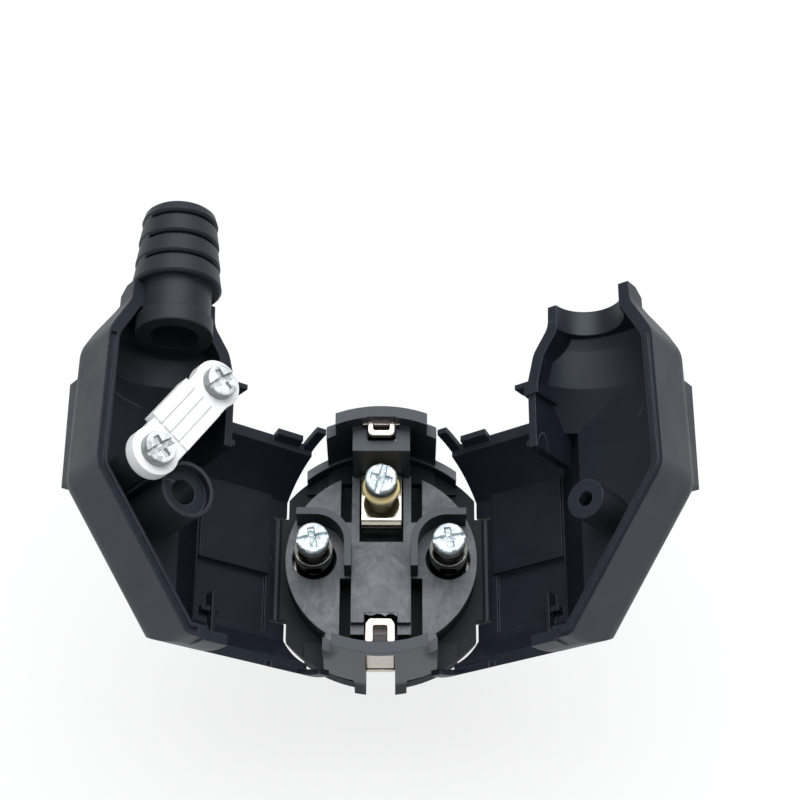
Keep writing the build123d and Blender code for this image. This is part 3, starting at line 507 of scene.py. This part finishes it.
bush_low, bush_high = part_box("earth_terminal_bush")
bush_r = (bush_high[0] - bush_low[0]) / 2
bore, neck, collar, flare, break_edge = 0.0016, 0.00172, 0.0018, 0.00035, 0.0002
tall = bush_high[2] - bush_low[2]
bush_profile = np.array([
    [bore, 0.0], [bush_r - flare, 0.0], [bush_r - flare, -0.4 * collar], [bush_r, -0.4 * collar - flare],
    [bush_r, break_edge - collar], [bush_r - break_edge, -collar], [neck, -collar], [neck, -tall],
    [bore, -tall],
])
bush_points, bush_faces = turned(bush_profile, columns=96, ring=True)
bush_points += [(bush_low[0] + bush_high[0]) / 2, (bush_low[1] + bush_high[1]) / 2, bush_high[2]]
stands_for("earth_bush", "earth_terminal_bush", bush_points, bush_faces, brass, "carrier")

pale_brass = plated("pale_rolled_brass", "#dcd8c8", "#9b9584", (0.07, 0.16), 2.2)[0]
parts["earth_link"].material_slots[0].material = pale_brass


# Half shells. Black polyamide mouldings that clip on the carrier by the beads along their front edges.
# The spark eroded skin outside is matt and painted greyer, the plain skin inside satin and nearly black; the
# difference is partly the texture and partly painted light outside and painted shade inside.

polyamide, shader, place, skin = moulded("matt_black_polyamide", "#0d111b", "#141924", "#4a4f5b", 0.32, 0.012, 0.2,
                                         (0.46, 0.58), 1.46, "#7c8087", 0.3)
# the outer skin faces away from the middle of its half and is painted greyer, partly for its texture and partly as
# painted light
HALF_X, HALF_Y, HALF_Z = 0.0254, 0.005, 0.0268
from_middle = add(polyamide, "ShaderNodeVectorMath", {0: place, 1: (0.0, HALF_Y, HALF_Z)}, operation="SUBTRACT")
side_of = add(polyamide, "ShaderNodeVectorMath", {0: place}, operation="SIGN")
middle = add(polyamide, "ShaderNodeVectorMath", {0: side_of.outputs[0], 1: (HALF_X, 0.0, 0.0)},
             operation="MULTIPLY")
outward = add(polyamide, "ShaderNodeVectorMath", {0: from_middle.outputs[0], 1: middle.outputs[0]},
              operation="SUBTRACT")
unit = add(polyamide, "ShaderNodeVectorMath", {0: outward.outputs[0]}, operation="NORMALIZE")
own_normal = add(polyamide, "ShaderNodeVectorTransform",
                 {0: add(polyamide, "ShaderNodeNewGeometry").outputs["True Normal"]},
                 vector_type="NORMAL", convert_from="WORLD", convert_to="OBJECT")
away = add(polyamide, "ShaderNodeVectorMath", {0: unit.outputs[0], 1: own_normal.outputs[0]},
           operation="DOT_PRODUCT")
outer = add(polyamide, "ShaderNodeMapRange", {"Value": away.outputs["Value"], "From Min": 0.05, "From Max": 0.35,
                                              "To Min": 0.0, "To Max": 0.8})
shell_skin = add(polyamide, "ShaderNodeMix", {0: outer.outputs[0], 6: skin.outputs[2], 7: linear("#2f3238")},
                 data_type="RGBA")
wire(polyamide, shell_skin.outputs[2], shader, "Base Color")
for name in ("left_shell", "right_shell"):
    parts[name].material_slots[0].material = polyamide


# Bend sleeve. Soft thermoplastic rubber, moulded in one with its ribs and caught in the left outlet.
# It is duller than the shells and picks up a soft grey sheen.

rubber, shader, place, skin = moulded("soft_black_rubber", "#11151c", "#181c25", "#3a3f49", 0.45, 0.010, 0.3,
                                      (0.50, 0.62), 1.46)
# the cut face of the foot inside the housing is painted dead black as shade, and made duller
FOOT_FACE = 0.0220
inward = add(rubber, "ShaderNodeSeparateXYZ", {0: place}).outputs["Y"]
cut = add(rubber, "ShaderNodeMapRange", {"Value": inward, "From Min": FOOT_FACE + 0.0004, "From Max": FOOT_FACE,
                                         "To Min": 0.0, "To Max": 0.9})
foot = add(rubber, "ShaderNodeMix", {0: cut.outputs[0], 6: skin.outputs[2], 7: linear("#06070a")},
           data_type="RGBA")
wire(rubber, foot.outputs[2], shader, "Base Color")
flat = add(rubber, "ShaderNodeMapRange", {"Value": inward, "From Min": FOOT_FACE + 0.0004, "From Max": FOOT_FACE,
                                          "To Min": 0.56, "To Max": 0.95})
wire(rubber, flat.outputs[0], shader, "Roughness")
shader.inputs["Sheen Weight"].default_value = 0.06
shader.inputs["Sheen Roughness"].default_value = 0.4
parts["bend_sleeve"].material_slots[0].material = rubber


# Cord clamp. Strap of undyed polyamide, moulded smooth and held on two posts by plated pan head screws.
# The plastic lets light in a little, so its white is milky and its shadows are soft; the screws are
# painted brighter than those of the terminals, a painted highlight. Their surfaces stand for the plain solids of
# the frame.

white, shader, _, _ = moulded("natural_white_polyamide", "#f2f3f4", "#f8f9f9", "#fafafa", 0.8, 0.004, 0.25,
                              (0.34, 0.44), 1.53)
shader.inputs["Subsurface Weight"].default_value = 0.6
shader.inputs["Subsurface Radius"].default_value = (0.003, 0.0026, 0.0024)
parts["cord_clamp"].material_slots[0].material = white

CLAMP_HEAD_H, CLAMP_SHANK_R, CLAMP_TURN, OPEN = 0.0015, 0.0013, 40, math.radians(54)
# the zinc of these screws is painted brighter than that of the terminals, a painted highlight
zinc, shader, _, tone = frosted_zinc("blue_zinc_plated_steel", "#fdffff", "#ccd7db", 0.1, 0.45, 0.9)
out_of_half = (math.cos(OPEN), 0.0, math.sin(OPEN))
across_half = (math.sin(OPEN), 0.0, -math.cos(OPEN))
# the sides of the heads are painted dark, a painted reflection of the dark housing
own_normal = add(zinc, "ShaderNodeVectorTransform",
                 {0: add(zinc, "ShaderNodeNewGeometry").outputs["True Normal"]},
                 vector_type="NORMAL", convert_from="WORLD", convert_to="OBJECT")
up = add(zinc, "ShaderNodeVectorMath", {0: own_normal.outputs[0], 1: out_of_half}, operation="DOT_PRODUCT")
flank = add(zinc, "ShaderNodeMapRange", {"Value": up.outputs["Value"], "From Min": 0.75, "From Max": 0.35,
                                         "To Min": 0.0, "To Max": 0.7})
edged = add(zinc, "ShaderNodeMix", {0: flank.outputs[0], 6: tone.outputs[2], 7: linear("#3c4347")},
            data_type="RGBA")
wire(zinc, edged.outputs[2], shader, "Base Color")
for name, node in (("upper_clamp_screw", "clamp_screw_upper"), ("lower_clamp_screw", "clamp_screw_lower")):
    screw(name, node, zinc, "left_half", out_of_half, across_half, CLAMP_TURN, CLAMP_HEAD_H, CLAMP_SHANK_R)


# Studio. A white table at the height of the pin tips, one broad soft light above and behind the plug,
# a weaker one from the viewer's side, and an even white room.
# Seen directly or in a reflection the table is washed out to white, with the plug's shadow left on it.

TABLE_HALF, WASH = 3.0, 0.78
floor_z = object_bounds()[0][2]
table = bpy.data.meshes.new("table")
table.from_pydata([(-TABLE_HALF, -TABLE_HALF, floor_z), (TABLE_HALF, -TABLE_HALF, floor_z),
                   (TABLE_HALF, TABLE_HALF, floor_z), (-TABLE_HALF, TABLE_HALF, floor_z)], [], [(0, 1, 2, 3)])
table_top = bpy.data.objects.new("table", table)
bpy.context.scene.collection.objects.link(table_top)
paper, paper_shader, _ = finish_of("white_paper", 0.9)
paper_shader.inputs["Base Color"].default_value = linear("#f4f5f7")
ray = add(paper, "ShaderNodeLightPath")
seen = add(paper, "ShaderNodeMath", {0: ray.outputs["Is Camera Ray"], 1: ray.outputs["Is Glossy Ray"]},
           operation="MAXIMUM")
washed = add(paper, "ShaderNodeMath", {0: seen.outputs[0], 1: WASH}, operation="MULTIPLY")
glare = add(paper, "ShaderNodeEmission", {"Color": (1.0, 1.0, 1.0, 1.0), "Strength": 1.0})
blend = add(paper, "ShaderNodeMixShader", {0: washed.outputs[0], 1: paper_shader.outputs[0],
                                           2: glare.outputs[0]})
paper.node_tree.links.new(blend.outputs[0], paper.node_tree.nodes["Material Output"].inputs["Surface"])
table.materials.append(paper)


PLUG_MIDDLE = Vector((0.0, 0.008, 0.01))


def softbox(name, direction, distance, side, radiance):
    """Square lamp seen from the plug in the given direction, aimed at the plug, of that brightness."""
    lamp = bpy.data.lights.new(name, "AREA")
    lamp.shape = "SQUARE"
    lamp.size = side
    lamp.energy = radiance * math.pi * side * side
    holder = bpy.data.objects.new(name, lamp)
    bpy.context.scene.collection.objects.link(holder)
    away = Vector(direction).normalized()
    holder.location = away * distance + PLUG_MIDDLE
    holder.rotation_mode = "QUATERNION"
    holder.rotation_quaternion = away.to_track_quat("Z", "Y")


softbox("top_light", (0.08, 0.42, 0.9), 0.8, 0.9, 3.5)
softbox("front_light", (-0.2, -0.8, 0.65), 0.9, 0.7, 0.58)

room = bpy.data.worlds.new("room")
bpy.context.scene.world = room
room.use_nodes = True
glow = room.node_tree.nodes["Background"]
glow.inputs["Color"].default_value = (0.955, 0.978, 1.0, 1.0)
glow.inputs["Strength"].default_value = 0.4


# Viewpoint. From above, on the side of the lower lip and 27 degrees off straight down, so that the
# collars are seen nearly round and the tails lie farther away.

SENSOR_MM, FOCAL_PX, IMAGE_PX = 36.0, 2018.2, 800
EYE_AT, LEAN, ROLL = (0.00252, -0.10535, 0.26158), math.radians(26.86), math.radians(0.14)
eye = bpy.data.cameras.new("eye")
eye.sensor_width = SENSOR_MM
eye.lens = FOCAL_PX / IMAGE_PX * SENSOR_MM
eye.clip_start = 0.01
camera = bpy.data.objects.new("eye", eye)
bpy.context.scene.collection.objects.link(camera)
camera.matrix_world = (Matrix.Translation(EYE_AT)
                       @ Matrix.Rotation(LEAN, 4, "X")
                       @ Matrix.Rotation(ROLL, 4, "Z"))
bpy.context.scene.camera = camera
bpy.context.scene.view_settings.view_transform = "Standard"
